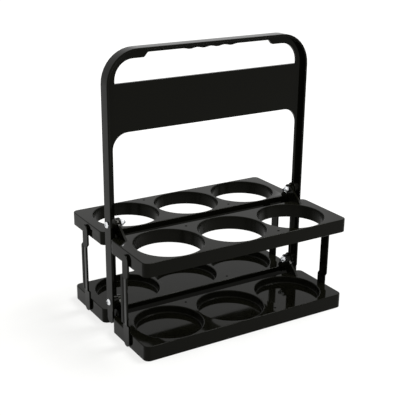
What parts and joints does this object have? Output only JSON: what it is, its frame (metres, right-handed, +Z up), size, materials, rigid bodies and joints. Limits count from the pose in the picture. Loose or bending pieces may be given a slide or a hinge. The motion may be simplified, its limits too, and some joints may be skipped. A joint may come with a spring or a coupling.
{
  "type": "folding cup carrier",
  "caption": "Folding drink carrier: two levels of hinged trays with round cup holes on both sides of a tall handle frame.",
  "frame": {"origin": "centre of the footprint on the surface the lower trays stand on", "axes": "+X to the right along the length, +Y to the back, -Y is the front, +Z up"},
  "size_m": [0.269, 0.18, 0.31],
  "materials": {
    "moulded_black": "satin to gloss moulded black",
    "zinc_steel": "bright zinc plate"
  },
  "bodies": {
    "frame": {"handle_frame": "moulded_black", "upper_left_screw": "zinc_steel", "upper_right_screw": "zinc_steel", "lower_left_screw": "zinc_steel", "lower_right_screw": "zinc_steel", "upper_left_nut": "zinc_steel", "upper_right_nut": "zinc_steel", "lower_left_nut": "zinc_steel", "lower_right_nut": "zinc_steel"},
    "upper_front": {"upper_front_tray": "moulded_black"},
    "lower_front": {"lower_front_tray": "moulded_black"},
    "front_left_link_bar": {"front_left_link": "moulded_black"},
    "front_right_link_bar": {"front_right_link": "moulded_black"},
    "upper_rear": {"upper_rear_tray": "moulded_black"},
    "lower_rear": {"lower_rear_tray": "moulded_black"},
    "rear_left_link_bar": {"rear_left_link": "moulded_black"},
    "rear_right_link_bar": {"rear_right_link": "moulded_black"}
  },
  "joints": [
    {"name": "upper_front_fold", "type": "hinge", "parent": "frame", "child": "upper_front", "pos_m": [0, 0, 0.1224], "axis": [-1, 0, 0], "range_deg": [0, 90]},
    {"name": "lower_front_fold", "type": "hinge", "parent": "frame", "child": "lower_front", "pos_m": [0, 0, 0.0309], "axis": [-1, 0, 0], "range_deg": [0, 90]},
    {"name": "front_left_link_swing", "type": "hinge", "parent": "upper_front", "child": "front_left_link_bar", "pos_m": [-0.13, -0.04975, 0.0995], "axis": [1, 0, 0], "range_deg": [0, 90]},
    {"name": "front_right_link_swing", "type": "hinge", "parent": "upper_front", "child": "front_right_link_bar", "pos_m": [0.13, -0.04975, 0.0995], "axis": [1, 0, 0], "range_deg": [0, 90]},
    {"name": "upper_rear_fold", "type": "hinge", "parent": "frame", "child": "upper_rear", "pos_m": [0, 0, 0.1224], "axis": [1, 0, 0], "range_deg": [0, 90]},
    {"name": "lower_rear_fold", "type": "hinge", "parent": "frame", "child": "lower_rear", "pos_m": [0, 0, 0.0309], "axis": [1, 0, 0], "range_deg": [0, 90]},
    {"name": "rear_left_link_swing", "type": "hinge", "parent": "upper_rear", "child": "rear_left_link_bar", "pos_m": [-0.13, 0.04975, 0.0995], "axis": [-1, 0, 0], "range_deg": [0, 90]},
    {"name": "rear_right_link_swing", "type": "hinge", "parent": "upper_rear", "child": "rear_right_link_bar", "pos_m": [0.13, 0.04975, 0.0995], "axis": [-1, 0, 0], "range_deg": [0, 90]}
  ],
  "couplings": [
    {"joint": "lower_front_fold", "follows": "upper_front_fold", "ratio": 1},
    {"joint": "front_left_link_swing", "follows": "upper_front_fold", "ratio": 1},
    {"joint": "front_right_link_swing", "follows": "upper_front_fold", "ratio": 1},
    {"joint": "lower_rear_fold", "follows": "upper_rear_fold", "ratio": 1},
    {"joint": "rear_left_link_swing", "follows": "upper_rear_fold", "ratio": 1},
    {"joint": "rear_right_link_swing", "follows": "upper_rear_fold", "ratio": 1}
  ]
}
